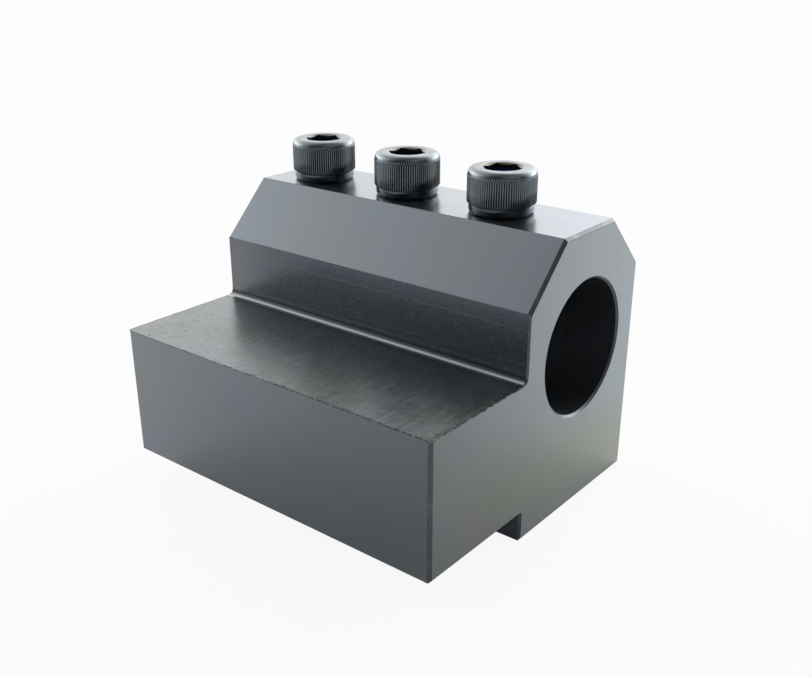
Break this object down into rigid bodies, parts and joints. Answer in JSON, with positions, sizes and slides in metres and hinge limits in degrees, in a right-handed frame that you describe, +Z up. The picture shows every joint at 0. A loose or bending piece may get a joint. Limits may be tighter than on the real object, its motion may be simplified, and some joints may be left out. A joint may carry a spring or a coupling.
{
  "type": "boring bar holder",
  "caption": "Steel boring bar holder with a stepped shank ledge, a bevelled bore block with a through bore, and a row of socket head clamp screws.",
  "frame": {"origin": "on the plane of the bore block's underside, below the middle of the holder's length and overall width", "axes": "+X along the bore towards the front end, which has the longer plain stretch before the first screw; +Y from the shank's outer face to the bore block's plain side; +Z up towards the screws"},
  "size_m": [0.091, 0.08, 0.0774],
  "materials": {
    "holder_steel": "ground and milled steel, black oxide, semi-gloss",
    "screw_steel": "forged and knurled alloy steel, black oxide, satin"
  },
  "bodies": {
    "holder": {"holder_body": "holder_steel"},
    "front_screw": {"clamp_screw_front": "screw_steel"},
    "middle_screw": {"clamp_screw_middle": "screw_steel"},
    "rear_screw": {"clamp_screw_rear": "screw_steel"}
  },
  "joints": [
    {"name": "front_screw_travel", "type": "slide", "parent": "holder", "child": "front_screw", "axis": [0, 0, 1], "range_m": [-0.0004, 0.01]},
    {"name": "middle_screw_travel", "type": "slide", "parent": "holder", "child": "middle_screw", "axis": [0, 0, 1], "range_m": [-0.0004, 0.01]},
    {"name": "rear_screw_travel", "type": "slide", "parent": "holder", "child": "rear_screw", "axis": [0, 0, 1], "range_m": [-0.0004, 0.01]}
  ]
}
